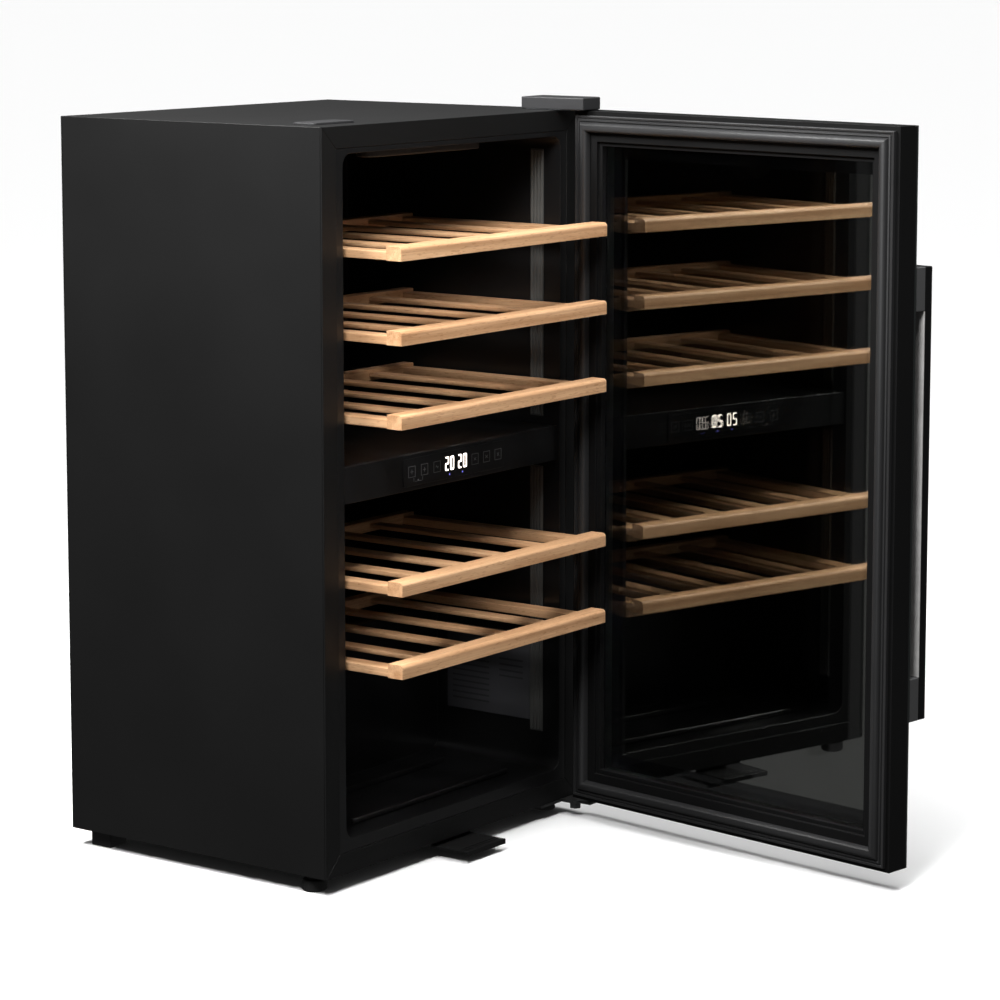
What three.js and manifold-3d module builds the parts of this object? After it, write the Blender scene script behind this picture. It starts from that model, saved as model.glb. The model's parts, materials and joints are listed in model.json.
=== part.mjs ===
// Free-standing two-zone wine cooler, millimetres, +Z up.
// The origin is the centre of the cabinet's underside, the front faces -Y and the hinges are on +X.
// At rest the glass door stands open and the five shelves are drawn out as far as the door lets them.
import * as THREE from "three";
import Module from "manifold-3d";

const wasm = await Module();
wasm.setup();

// Overall sizes
const WIDTH = 474;
const DEPTH = 378;
const HEIGHT = 820;
const FOOT = 20;
const SHEET = 1.5;
const GAP = 0.3125;

// The box's outer planes
const FRONT = -DEPTH / 2;
const BACK = DEPTH / 2;
const SIDE = WIDTH / 2;

// Insulated walls, and the cavity they leave
const WALL = 36;
const WALL_BACK = 59;
const CEILING = 30;
const CAVITY_X = SIDE - WALL;
const CAVITY_BACK = BACK - WALL_BACK;
const CAVITY_FLOOR = 38;
const CAVITY_TOP = HEIGHT - CEILING;
const LINER = 2;
const LINER_ROUND = 14;
const FLANGE = 24;

// Step over the machine bay
const STEP_DEEP = 196;
const STEP_HIGH = 215;
const STEP_WALL = 37;
const STEP_ROOF = 25;
const STEP_FRONT = BACK - STEP_DEEP;
const BAY_FRONT = STEP_FRONT + STEP_WALL;
const BAY_TOP = STEP_HIGH - STEP_ROOF;

// Divider with the controls on its front
const PANEL_DROP = 370;
const PANEL_TALL = 40;
const PANEL_HIGH = HEIGHT - PANEL_DROP;
const PANEL_LOW = PANEL_HIGH - PANEL_TALL;

// Air duct behind the shelves
const DUCT_DEEP = 11;
const COVER_FRONT = CAVITY_BACK - DUCT_DEEP;

// Shelves, three counted down from the top and two counted up from the step
const SHELF_PITCH = 90.5;
const TOP_DROP = 142;
const STEP_CLEAR = 10;
const SHELF_Z = [
  HEIGHT - TOP_DROP,
  HEIGHT - TOP_DROP - SHELF_PITCH,
  HEIGHT - TOP_DROP - 2 * SHELF_PITCH,
  STEP_HIGH + STEP_CLEAR + SHELF_PITCH,
  STEP_HIGH + STEP_CLEAR,
];
const SHELF_PLAY = 8.5;
const SHELF_HALF = CAVITY_X - SHELF_PLAY;
const SHELF_OUT = 71.5;
const SHELF_HOME = 7;
const REAR_PLAY = 5;
const SHELF_DEEP = COVER_FRONT - REAR_PLAY - FRONT - SHELF_HOME;
const RAIL_DEEP = 20;
const RAIL_HIGH = 15.5;
const DECK_HIGH = 9.5;
const REAR_RAIL_HIGH = 13.5;
const SIDE_RAIL = 22;
const SLATS = 4;
const SLAT_WIDE = 21;
const SLAT_THICK = 5;
const SLAT_EDGE = 43.5;

// Door, built shut and then turned about its hinge line
const DOOR_THICK = 32;
const DOOR_LOW = 4;
const DOOR_HIGH = HEIGHT;
const SEAL = 10;
const DOOR_INNER = FRONT - SEAL;
const DOOR_OUTER = DOOR_INNER - DOOR_THICK;
const DOOR_BORDER = 35;
const BORDER_STEP = 5;
const PANE = 4;
const HINGE_INSET = 12;
const HINGE_SET = 20;
const HINGE_X = SIDE - HINGE_INSET;
const HINGE_Y = DOOR_INNER - HINGE_SET;
const DOOR_OPEN = THREE.MathUtils.degToRad(82);
const PIN_R = 4;

// Handle
const HANDLE_LONG = 500;
const HANDLE_MID = (DOOR_LOW + DOOR_HIGH) / 2 + 5;
const HANDLE_WIDE = 28;
const HANDLE_STAND = 17;
const BAR_THICK = 12;
const POST_LONG = 48;

const group = new THREE.Group();

function paint(colour, roughness, metalness) {
  return new THREE.MeshStandardMaterial({ color: colour, roughness, metalness });
}

function solid(geometry) {
  const plain = geometry.index ? geometry.toNonIndexed() : geometry;
  const key = new Map();
  const verts = [];
  const tris = [];
  const at = plain.getAttribute("position");
  for (let i = 0; i < at.count; i++) {
    const p = [at.getX(i), at.getY(i), at.getZ(i)];
    const id = p.map((c) => Math.round(c * 2000)).join(",");
    if (!key.has(id)) {
      key.set(id, verts.length / 3);
      verts.push(...p);
    }
    tris.push(key.get(id));
  }
  const faces = [];
  for (let i = 0; i < tris.length; i += 3) {
    const [a, b, c] = tris.slice(i, i + 3);
    if (a !== b && b !== c && a !== c) {
      faces.push(a, b, c);
    }
  }
  return new wasm.Manifold(
    new wasm.Mesh({
      numProp: 3,
      vertProperties: new Float32Array(verts),
      triVerts: new Uint32Array(faces),
    }),
  );
}

function geometryOf(shape) {
  const mesh = shape.getMesh();
  const geometry = new THREE.BufferGeometry();
  geometry.setAttribute("position", new THREE.BufferAttribute(mesh.vertProperties, 3));
  geometry.setIndex(new THREE.BufferAttribute(mesh.triVerts, 1));
  const flat = geometry.toNonIndexed();
  flat.computeVertexNormals();
  return flat;
}

function add(name, shape, material) {
  const mesh = new THREE.Mesh(geometryOf(shape), material);
  mesh.name = name;
  group.add(mesh);
  return mesh;
}

function box(x0, x1, y0, y1, z0, z1) {
  const g = new THREE.BoxGeometry(x1 - x0, y1 - y0, z1 - z0);
  g.translate((x0 + x1) / 2, (y0 + y1) / 2, (z0 + z1) / 2);
  return solid(g);
}

function rod(x, y, z, radius, length, axis = "z", sides = 20) {
  const g = new THREE.CylinderGeometry(radius, radius, length, sides);
  if (axis === "z") {
    g.rotateX(Math.PI / 2);
  }
  if (axis === "x") {
    g.rotateZ(Math.PI / 2);
  }
  g.translate(x, y, z);
  return solid(g);
}

// A box from y0 to y1 whose four edges along Y are rounded.
function softBox(halfX, z0, z1, y0, y1, radius, steps = 4) {
  const s = new THREE.Shape();
  s.moveTo(-halfX + radius, z0);
  s.lineTo(halfX - radius, z0);
  s.absarc(halfX - radius, z0 + radius, radius, -Math.PI / 2, 0, false);
  s.lineTo(halfX, z1 - radius);
  s.absarc(halfX - radius, z1 - radius, radius, 0, Math.PI / 2, false);
  s.lineTo(-halfX + radius, z1);
  s.absarc(-halfX + radius, z1 - radius, radius, Math.PI / 2, Math.PI, false);
  s.lineTo(-halfX, z0 + radius);
  s.absarc(-halfX + radius, z0 + radius, radius, Math.PI, 1.5 * Math.PI, false);
  const g = new THREE.ExtrudeGeometry(s, { depth: y1 - y0, bevelEnabled: false, curveSegments: steps });
  g.rotateX(Math.PI / 2);
  g.translate(0, y1, 0);
  return solid(g);
}

function join(...shapes) {
  return shapes.reduce((a, b) => a.add(b));
}

function cut(shape, ...tools) {
  return tools.reduce((a, b) => a.subtract(b), shape);
}

function copies(count, make) {
  return Array.from({ length: count }, (_, i) => make(i));
}

const steelBlack = paint(0x1d1d1f, 0.5, 0.4);
const plasticBlack = paint(0x121214, 0.55, 0);
const plasticGrey = paint(0x2a2b2e, 0.6, 0);
const zinc = paint(0x9a9b9d, 0.4, 0.9);
const beech = paint(0xc99a66, 0.6, 0);
const beechPale = paint(0xd6ab78, 0.6, 0);
const foam = paint(0xe0d6b0, 0.9, 0);
const rubber = paint(0x3c3d40, 0.8, 0);
const smoked = paint(0x0c0d0f, 0.08, 0);
const silver = paint(0xb9babd, 0.35, 0.9);
const board = paint(0x1f5a35, 0.6, 0);
const diffuser = paint(0x6e7074, 0.5, 0);

// Outer casing: one sheet folded over both sides and the top.
const casing = cut(
  box(-SIDE, SIDE, FRONT + 2 + GAP, BACK - SHEET - GAP, 0, HEIGHT),
  box(-SIDE + SHEET, SIDE - SHEET, FRONT - 10, BACK + 10, -10, HEIGHT - SHEET),
);
add("outer_casing", casing, steelBlack);

const opening = [-SIDE + FLANGE, SIDE - FLANGE, FRONT - 10, FRONT + 10, FLANGE, HEIGHT - FLANGE];
add("front_frame", cut(box(-SIDE, SIDE, FRONT, FRONT + 2, 0, HEIGHT), box(...opening)), steelBlack);

// The back sheet is cut out round the open machine bay.
add(
  "back_panel",
  cut(
    box(-SIDE, SIDE, BACK - SHEET, BACK, 0, HEIGHT),
    box(-SIDE + 22, SIDE - 22, BACK - 10, BACK + 10, 12, BAY_TOP - 6),
  ),
  steelBlack,
);

// Base pan: flat sheet with an upturned front edge and a pressed groove round its plain middle.
const PAN_FLAT = 1.6;
const PAN_X = SIDE - SHEET - GAP;
const GROOVE_IN = 55;
const GROOVE_WIDE = 6;
const GROOVE_DEEP = 0.5;
const groove = (inset) =>
  box(-SIDE + inset, SIDE - inset, FRONT + inset, BACK - inset, -1, GROOVE_DEEP);
add(
  "base_pan",
  cut(
    join(
      box(-PAN_X, PAN_X, FRONT + 2 + GAP, BACK - SHEET - GAP, 0, PAN_FLAT),
      box(-PAN_X, PAN_X, FRONT + 2 + GAP, FRONT + 5, 0, 16),
    ),
    cut(groove(GROOVE_IN), groove(GROOVE_IN + GROOVE_WIDE)),
  ),
  steelBlack,
);

// Moulded liner: a rounded tub with a front lip, a step over the machine bay and shelf ledges.
const step = (inset) =>
  box(-SIDE - 50, SIDE + 50, STEP_FRONT + inset, BACK + 50, -50, STEP_HIGH - inset);
const inner = cut(
  softBox(CAVITY_X, CAVITY_FLOOR, CAVITY_TOP, FRONT - 20, CAVITY_BACK, LINER_ROUND),
  step(0),
);
const shell = cut(
  softBox(
    CAVITY_X + LINER,
    CAVITY_FLOOR - LINER,
    CAVITY_TOP + LINER,
    FRONT + 3,
    CAVITY_BACK + LINER,
    LINER_ROUND + LINER,
  ),
  step(LINER),
);
const lip = box(
  -SIDE + FLANGE + GAP,
  SIDE - FLANGE - GAP,
  FRONT + 0.5,
  FRONT + 9,
  FLANGE + GAP,
  HEIGHT - FLANGE - GAP,
);
const LEDGE_IN = 17;
const ledges = [-1, 1].flatMap((s) =>
  SHELF_Z.map((z) => {
    const a = s * (CAVITY_X - LEDGE_IN);
    const b = s * (CAVITY_X + 1);
    const low = z > STEP_HIGH + 20 ? z - 7 : Math.min(STEP_HIGH - 1, z - 7);
    return box(Math.min(a, b), Math.max(a, b), FRONT + 45, CAVITY_BACK - 12, low, z - GAP);
  }),
);
add("liner", join(cut(join(shell, lip), inner), ...ledges), plasticBlack);

// Foam between the casing and the liner, left open over the machine bay.
const fill = cut(
  box(-PAN_X, PAN_X, FRONT + 5 + GAP, BACK - SHEET - GAP, PAN_FLAT + GAP, HEIGHT - SHEET - GAP),
  softBox(
    CAVITY_X + LINER + GAP,
    CAVITY_FLOOR - LINER - GAP,
    CAVITY_TOP + LINER + GAP,
    FRONT - 10,
    CAVITY_BACK + LINER + GAP,
    LINER_ROUND + LINER,
  ),
  box(
    -SIDE + FLANGE,
    SIDE - FLANGE,
    FRONT - 10,
    FRONT + 9 + GAP,
    FLANGE,
    HEIGHT - FLANGE,
  ),
  box(-PAN_X - 5, PAN_X + 5, BAY_FRONT, BACK + 10, -10, BAY_TOP),
);
const SADDLE_X = CAVITY_X + LINER + 5;
const stepSkin = LINER + GAP;
const saddle = box(
  -SADDLE_X,
  SADDLE_X,
  STEP_FRONT + stepSkin,
  CAVITY_BACK + 5,
  BAY_TOP,
  STEP_HIGH - stepSkin,
);
const brow = box(
  -SADDLE_X,
  SADDLE_X,
  STEP_FRONT + stepSkin,
  BAY_FRONT,
  PAN_FLAT + GAP,
  STEP_HIGH - stepSkin,
);
add("insulation", join(fill, saddle, brow), foam);

// Divider between the zones, with the fascia, its glossy touch strip and the board behind it.
const DIV_X = CAVITY_X - 0.5;
const FASCIA_FRONT = FRONT + 3.6;
add(
  "zone_divider",
  box(-DIV_X, DIV_X, FASCIA_FRONT + 6.4, CAVITY_BACK - 12, PANEL_LOW, PANEL_HIGH),
  plasticBlack,
);
add(
  "control_fascia",
  box(-DIV_X, DIV_X, FASCIA_FRONT, FASCIA_FRONT + 3, PANEL_LOW - 0.5, PANEL_HIGH + 0.5),
  plasticGrey,
);
add(
  "touch_strip",
  box(-95, 92, FASCIA_FRONT - 1.3, FASCIA_FRONT - GAP, PANEL_LOW + 5, PANEL_HIGH - 4),
  smoked,
);
add(
  "control_board",
  box(-90, 88, FASCIA_FRONT + 3.3, FASCIA_FRONT + 4.9, PANEL_LOW + 6, PANEL_HIGH - 6),
  board,
);

// Upright light bars, two on each side wall.
const lightZones = [["upper", PANEL_HIGH + 10, CAVITY_TOP - 16], ["lower", CAVITY_FLOOR + 42, PANEL_LOW - 10]];
for (const [side, s] of [["left", -1], ["right", 1]]) {
  for (const [zone, low, high] of lightZones) {
    const a = s * (CAVITY_X - 3.3);
    const b = s * (CAVITY_X - GAP);
    add(
      `light_bar_${side}_${zone}`,
      box(Math.min(a, b), Math.max(a, b), FRONT + 24, FRONT + 42, low, high),
      diffuser,
    );
  }
}

// Slim lamp housing under the ceiling, with rounded ends.
const LAMP_HALF = 90;
const LAMP_R = 14;
const LAMP_TALL = 10.5;
const LAMP_Y = FRONT + 53;
add(
  "ceiling_lamp",
  join(
    box(-LAMP_HALF, LAMP_HALF, LAMP_Y - LAMP_R, LAMP_Y + LAMP_R, CAVITY_TOP - GAP - LAMP_TALL, CAVITY_TOP - GAP),
    rod(-LAMP_HALF, LAMP_Y, CAVITY_TOP - GAP - LAMP_TALL / 2, LAMP_R, LAMP_TALL, "z", 20),
    rod(LAMP_HALF, LAMP_Y, CAVITY_TOP - GAP - LAMP_TALL / 2, LAMP_R, LAMP_TALL, "z", 20),
  ),
  plasticGrey,
);

// Air duct covers on the rear wall, each with a round fan opening and slots.
const zones = [["upper", PANEL_HIGH + 14, CAVITY_TOP - 14], ["lower", STEP_HIGH + 4, PANEL_LOW - 6]];
const COVER_X = CAVITY_X - 51;
const FAN_R = 36;
const FAN_DROP = 52;
for (const [zone, low, high] of zones) {
  const middle = high - FAN_DROP;
  const slots = copies(4, (i) =>
    box(-70, 70, COVER_FRONT - 5, COVER_FRONT + 5, low + 16 + i * 14, low + 22 + i * 14),
  );
  add(
    `duct_cover_${zone}`,
    cut(
      box(-COVER_X, COVER_X, COVER_FRONT, COVER_FRONT + 2, low, high),
      rod(0, COVER_FRONT, middle, FAN_R + 3, 20, "y", 28),
      ...slots,
    ),
    plasticBlack,
  );
  add(
    `fan_motor_${zone}`,
    join(
      rod(0, CAVITY_BACK - 1.8, middle, 12, 3, "y", 20),
      box(-48, 48, CAVITY_BACK - 1.8, CAVITY_BACK - GAP, middle - 6, middle + 6),
    ),
    plasticGrey,
  );
  const blades = copies(7, (i) => {
    const g = new THREE.BoxGeometry(FAN_R - 8, 1, 12);
    g.rotateX(0.6);
    g.translate((FAN_R + 8) / 2, 0, 0);
    g.rotateY((i * 2 * Math.PI) / 7);
    g.translate(0, CAVITY_BACK - 7.6, middle);
    return solid(g);
  });
  add(`fan_rotor_${zone}`, join(rod(0, CAVITY_BACK - 7, middle, 11, 6, "y", 20), ...blades), plasticGrey);
}

// Evaporator plate behind each duct cover, beside its fan.
for (const [zone, low, high] of zones) {
  const fins = copies(6, (i) =>
    box(-112 + i * 8, -110.8 + i * 8, CAVITY_BACK - 8, CAVITY_BACK - 2, low + 8, high - 8),
  );
  add(
    `evaporator_${zone}`,
    join(box(-114, -62, CAVITY_BACK - 2.4, CAVITY_BACK - GAP, low + 8, high - 8), ...fins),
    silver,
  );
}

// Vent filter cap on the left wall, rating plate on the right wall, ribs on the floor.
const CAP_R = 24;
const CAP_THICK = 6;
const CAP_Y = FRONT + 169;
const CAP_Z = CAVITY_TOP - 55;
add(
  "vent_filter_cap",
  cut(
    rod(-CAVITY_X + GAP + CAP_THICK / 2, CAP_Y, CAP_Z, CAP_R, CAP_THICK, "x", 28),
    ...copies(3, (i) =>
      box(-CAVITY_X + GAP + CAP_THICK / 2, 0, CAP_Y - 14, CAP_Y + 14, CAP_Z - 12 + i * 10, CAP_Z - 8 + i * 10),
    ),
  ),
  plasticGrey,
);
const PLATE_Y = FRONT + 43;
const PLATE_LOW = 92;
add(
  "rating_plate",
  box(CAVITY_X - GAP - 0.6, CAVITY_X - GAP, PLATE_Y, PLATE_Y + 123, PLATE_LOW, PLATE_LOW + 104),
  paint(0x8f9092, 0.6, 0),
);
const RIB_X = CAVITY_X - 60;
const RIB_TALL = 6.5;
for (const [where, y] of [["front", FRONT + 38], ["rear", FRONT + 131]]) {
  add(
    `floor_rib_${where}`,
    join(
      box(-RIB_X, RIB_X, y - 4, y + 4, CAVITY_FLOOR + GAP, CAVITY_FLOOR + GAP + RIB_TALL),
      rod(-RIB_X, y, CAVITY_FLOOR + GAP + RIB_TALL / 2, 4, RIB_TALL, "z", 12),
      rod(RIB_X, y, CAVITY_FLOOR + GAP + RIB_TALL / 2, 4, RIB_TALL, "z", 12),
    ),
    plasticGrey,
  );
}

// Machine bay: compressor on its cross plate, drip tray, condenser and power inlet.
const COMP_X = 70;
const COMP_Y = BACK - 84;
const dome = new THREE.SphereGeometry(1, 20, 10);
dome.scale(72, 60, 68);
dome.translate(COMP_X, COMP_Y, 92);
const can = solid(dome);
add(
  "compressor",
  join(
    can,
    box(COMP_X - 85, COMP_X + 85, COMP_Y - 45, COMP_Y + 45, 22, 26),
    box(COMP_X - 40, COMP_X + 40, COMP_Y - 35, COMP_Y + 35, 22, 50),
    rod(COMP_X - 70, COMP_Y - 30, 14, 9, 18, "z", 12),
    rod(COMP_X + 70, COMP_Y - 30, 14, 9, 18, "z", 12),
    rod(COMP_X - 70, COMP_Y + 30, 14, 9, 18, "z", 12),
    rod(COMP_X + 70, COMP_Y + 30, 14, 9, 18, "z", 12),
    box(COMP_X - 100, COMP_X - 60, COMP_Y - 20, COMP_Y + 20, 70, 110),
  ),
  plasticBlack,
);
add(
  "compressor_plate",
  box(COMP_X - 100, COMP_X + 100, COMP_Y - 55, COMP_Y + 55, PAN_FLAT + GAP, 4.6),
  zinc,
);
const TRAY_X = COMP_X - 195;
const TRAY_TALL = 30;
add(
  "drip_tray",
  cut(
    box(TRAY_X - 65, TRAY_X + 65, COMP_Y - 50, COMP_Y + 50, PAN_FLAT + GAP, TRAY_TALL),
    box(TRAY_X - 63, TRAY_X + 63, COMP_Y - 48, COMP_Y + 48, 4, TRAY_TALL + 10),
  ),
  plasticGrey,
);
const TUBE = 2.4;
const COIL_ROWS = 12;
const COIL_LOW = 240;
const COIL_HIGH = HEIGHT - 74;
const COIL_X = SIDE - 47;
const COIL_Y = BACK + 8;
const coilStep = (COIL_HIGH - COIL_LOW) / (COIL_ROWS - 1);
const rows = copies(COIL_ROWS, (i) => rod(0, COIL_Y, COIL_LOW + i * coilStep, TUBE, 2 * COIL_X, "x", 8));
const bends = copies(COIL_ROWS - 1, (i) =>
  rod(
    (i % 2 ? -1 : 1) * (COIL_X - 2),
    COIL_Y,
    COIL_LOW + (i + 0.5) * coilStep,
    TUBE,
    coilStep + TUBE * 2,
    "z",
    8,
  ),
);
const WIRES = 7;
const wireStep = (2 * (COIL_X - 19)) / (WIRES - 1);
const wires = copies(WIRES, (i) => {
  const x = -COIL_X + 19 + i * wireStep;
  return box(x - 1, x + 1, COIL_Y + 1.6, COIL_Y + 3.6, COIL_LOW - 12, COIL_HIGH + 12);
});
const stands = [-1, 1].flatMap((s) =>
  [COIL_LOW + 22, COIL_HIGH - 24].map((z) =>
    box(s * (COIL_X - 25) - 8, s * (COIL_X - 25) + 8, BACK + GAP, COIL_Y + 2, z - 4, z + 4),
  ),
);
add("condenser", join(...rows, ...bends, ...wires, ...stands), plasticBlack);
const INLET_X = -120;
add(
  "power_inlet",
  cut(
    box(INLET_X - 30, INLET_X + 30, BACK + GAP, BACK + 13, BAY_TOP + 10, BAY_TOP + 36),
    box(INLET_X - 14, INLET_X + 14, BACK + 4, BACK + 20, BAY_TOP + 15, BAY_TOP + 31),
  ),
  plasticGrey,
);

// Top hinge: zinc plate with its pin, under a plastic cover with a rounded outer corner.
const COVER_IN = 35;
const COVER_PAST = 9;
const COVER_AHEAD = 9;
const COVER_REACH = 49;
const COVER_ROUND = 14;
const COVER_WALL = 2.5;
const COVER_TALL = 14;

function coverBlock(inset, low, high) {
  const x0 = HINGE_X - COVER_IN + inset;
  const x1 = HINGE_X + COVER_PAST - inset;
  const y0 = HINGE_Y - COVER_AHEAD + inset;
  const y1 = FRONT + COVER_REACH - inset;
  const r = COVER_ROUND - inset;
  const s = new THREE.Shape();
  s.moveTo(x0, y1);
  s.lineTo(x0, y0);
  s.lineTo(x1 - r, y0);
  s.absarc(x1 - r, y0 + r, r, -Math.PI / 2, 0, false);
  s.lineTo(x1, y1);
  const g = new THREE.ExtrudeGeometry(s, { depth: high - low, bevelEnabled: false, curveSegments: 6 });
  g.translate(0, 0, low);
  return solid(g);
}

const coverLow = HEIGHT + 1;
const coverHigh = coverLow + COVER_TALL;
add(
  "top_hinge_plate",
  join(
    box(
      HINGE_X - COVER_IN + 4,
      HINGE_X + PIN_R,
      HINGE_Y,
      FRONT + COVER_REACH - 4,
      HEIGHT + GAP,
      HEIGHT + 3.2,
    ),
    rod(HINGE_X, HINGE_Y, HEIGHT - 6, PIN_R, 18, "z", 16),
  ),
  zinc,
);
add(
  "top_hinge_cover",
  cut(coverBlock(0, coverLow, coverHigh), coverBlock(COVER_WALL, HEIGHT - 5, coverHigh - COVER_WALL)),
  plasticBlack,
);

// Bottom hinge: thick bracket under the cabinet's front corner, reaching forward under the door.
add(
  "bottom_hinge_bracket",
  join(
    box(HINGE_X - 60, HINGE_X + 8, FRONT - 1, FRONT + 14, -3.3, -GAP),
    box(HINGE_X - 14, HINGE_X + 8, HINGE_Y - 8, FRONT + 14, -3.3, -GAP),
    rod(HINGE_X, HINGE_Y, 7, PIN_R, 20, "z", 16),
    rod(HINGE_X - 13, FRONT - 16, -6, 7, 7, "z", 6),
    box(HINGE_X - 20, HINGE_X + 8, FRONT - 22, FRONT + 2, -3.3, -GAP),
  ),
  zinc,
);
add(
  "hinge_hole_cap",
  box(-SIDE + 24, -SIDE + 96, FRONT + 30, FRONT + 62, HEIGHT + GAP, HEIGHT + 2.4),
  plasticBlack,
);

// Feet: threaded levellers at the front, fixed pads at the back, a middle support foot.
for (const [side, s] of [["left", -1], ["right", 1]]) {
  add(
    `levelling_foot_${side}`,
    join(
      rod(s * (SIDE - 21), FRONT + 34, -FOOT + 6.5, 14, 13, "z", 28),
      rod(s * (SIDE - 21), FRONT + 34, -(FOOT - 12 + GAP) / 2, 9, FOOT - 12 - GAP, "z", 6),
    ),
    plasticBlack,
  );
  add(
    `rear_foot_${side}`,
    box(s * (SIDE - 26) - 14, s * (SIDE - 26) + 14, BACK - 48, BACK - 18, -FOOT, -GAP),
    plasticBlack,
  );
}
add(
  "front_support_foot",
  join(
    box(-36, 36, FRONT - 42, FRONT + 12, -8, -5),
    box(-36, 36, FRONT + 9, FRONT + 12, -8, -GAP),
    box(-36, 36, FRONT + 9, FRONT + 40, -3.3, -GAP),
    box(-36, 36, FRONT - 42, FRONT - 39, -11, -5),
  ),
  steelBlack,
);

// Shelves: beech front rail and slatted deck, each pair drawn out together.
SHELF_Z.forEach((z, i) => {
  const front = FRONT - SHELF_OUT;
  const rail = new THREE.Shape();
  rail.moveTo(front, z);
  rail.lineTo(front + RAIL_DEEP, z);
  rail.lineTo(front + RAIL_DEEP, z + RAIL_HIGH - 2.5);
  rail.lineTo(front + RAIL_DEEP - 3, z + RAIL_HIGH);
  rail.lineTo(front + 5, z + RAIL_HIGH);
  rail.lineTo(front + 1.5, z + RAIL_HIGH - 1.5);
  rail.lineTo(front, z + RAIL_HIGH - 5);
  const g = new THREE.ExtrudeGeometry(rail, { depth: 2 * SHELF_HALF, bevelEnabled: false });
  g.applyMatrix4(new THREE.Matrix4().set(0, 0, 1, -SHELF_HALF, 1, 0, 0, 0, 0, 1, 0, 0, 0, 0, 0, 1));
  add(`shelf_${i + 1}_front_rail`, solid(g), beechPale);

  const y0 = front + RAIL_DEEP + GAP;
  const y1 = front + SHELF_DEEP;
  const wide = SHELF_HALF - 2.5;
  const room = 2 * (wide - SIDE_RAIL - SLAT_EDGE);
  const pitch = (room - SLAT_WIDE) / (SLATS - 1);
  const slats = copies(SLATS, (k) => {
    const x = -room / 2 + k * pitch;
    return box(x, x + SLAT_WIDE, y0, y1 - 4, z + DECK_HIGH - SLAT_THICK, z + DECK_HIGH);
  });
  const deck = join(
    box(-wide, -wide + SIDE_RAIL, y0, y1, z, z + DECK_HIGH),
    box(wide - SIDE_RAIL, wide, y0, y1, z, z + DECK_HIGH),
    box(-wide, wide, y1 - 16, y1, z, z + REAR_RAIL_HIGH),
    box(-wide, wide, y0, y0 + 8, z, z + DECK_HIGH - 1.5),
    ...slats,
  );
  add(`shelf_${i + 1}_deck`, deck, beech);
});

// Door parts, drawn shut and swung open together about the hinge line.
const swing = new THREE.Matrix4()
  .makeTranslation(HINGE_X, HINGE_Y, 0)
  .multiply(new THREE.Matrix4().makeRotationZ(DOOR_OPEN))
  .multiply(new THREE.Matrix4().makeTranslation(-HINGE_X, -HINGE_Y, 0));

function addToDoor(name, shape, material) {
  const mesh = add(name, shape, material);
  mesh.applyMatrix4(swing);
  return mesh;
}

function ring(inset, width, y0, y1) {
  const near = [-SIDE + inset, SIDE - inset, y0, y1, DOOR_LOW + inset, DOOR_HIGH - inset];
  const far = [
    near[0] + width,
    near[1] - width,
    y0 - 5,
    y1 + 5,
    near[4] + width,
    near[5] - width,
  ];
  return cut(box(...near), box(...far));
}

const PANE_BACK = DOOR_OUTER + PANE;
const SPACER_BACK = PANE_BACK + GAP + 12;
const INNER_PANE_BACK = SPACER_BACK + GAP + PANE;
const bush = (z, long) => rod(HINGE_X, HINGE_Y, z, PIN_R + GAP, long, "z", 24);
const innerPaneHole = box(
  -SIDE + 30,
  SIDE - 30,
  PANE_BACK - 1,
  INNER_PANE_BACK + GAP,
  DOOR_LOW + 30,
  DOOR_HIGH - 30,
);
addToDoor(
  "door_frame",
  cut(
    join(
      ring(0, DOOR_BORDER, PANE_BACK + GAP, DOOR_INNER),
      ring(1, DOOR_BORDER + BORDER_STEP - 1, INNER_PANE_BACK + GAP, DOOR_INNER - 4),
    ),
    innerPaneHole,
    bush(DOOR_LOW, 40),
    bush(DOOR_HIGH, 40),
  ),
  plasticBlack,
);
addToDoor("outer_glass", box(-SIDE, SIDE, DOOR_OUTER, PANE_BACK, DOOR_LOW, DOOR_HIGH), smoked);
addToDoor("glass_spacer", ring(31, 8, PANE_BACK + GAP, SPACER_BACK), silver);
addToDoor(
  "inner_glass",
  box(-SIDE + 31, SIDE - 31, SPACER_BACK + GAP, INNER_PANE_BACK, DOOR_LOW + 31, DOOR_HIGH - 31),
  smoked,
);
addToDoor(
  "door_gasket",
  join(ring(5, 22, DOOR_INNER + GAP, DOOR_INNER + 5.5), ring(11, 11, DOOR_INNER + 4, DOOR_INNER + 9.4)),
  rubber,
);
const BAR_BACK = DOOR_OUTER - HANDLE_STAND;
const HANDLE_LOW = HANDLE_MID - HANDLE_LONG / 2;
const HANDLE_HIGH = HANDLE_MID + HANDLE_LONG / 2;
const HANDLE_X0 = -SIDE + 0.5;
addToDoor(
  "handle_bar",
  box(HANDLE_X0, HANDLE_X0 + HANDLE_WIDE, BAR_BACK - BAR_THICK, BAR_BACK, HANDLE_LOW, HANDLE_HIGH),
  plasticBlack,
);
for (const [end, low] of [["lower", HANDLE_LOW], ["upper", HANDLE_HIGH - POST_LONG]]) {
  addToDoor(
    `handle_post_${end}`,
    box(HANDLE_X0, HANDLE_X0 + HANDLE_WIDE, BAR_BACK + GAP, DOOR_OUTER - GAP, low, low + POST_LONG),
    plasticGrey,
  );
}
addToDoor(
  "handle_inlay",
  box(
    HANDLE_X0,
    HANDLE_X0 + 12,
    BAR_BACK + GAP,
    BAR_BACK + 1.5,
    HANDLE_LOW + POST_LONG + GAP,
    HANDLE_HIGH - POST_LONG - GAP,
  ),
  silver,
);

export default group;
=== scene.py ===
"""Free-standing two-zone wine cooler with its glass door open and its beech shelves drawn out."""
import json
import math

import bmesh
import bpy
from mathutils import Matrix, Vector


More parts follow.
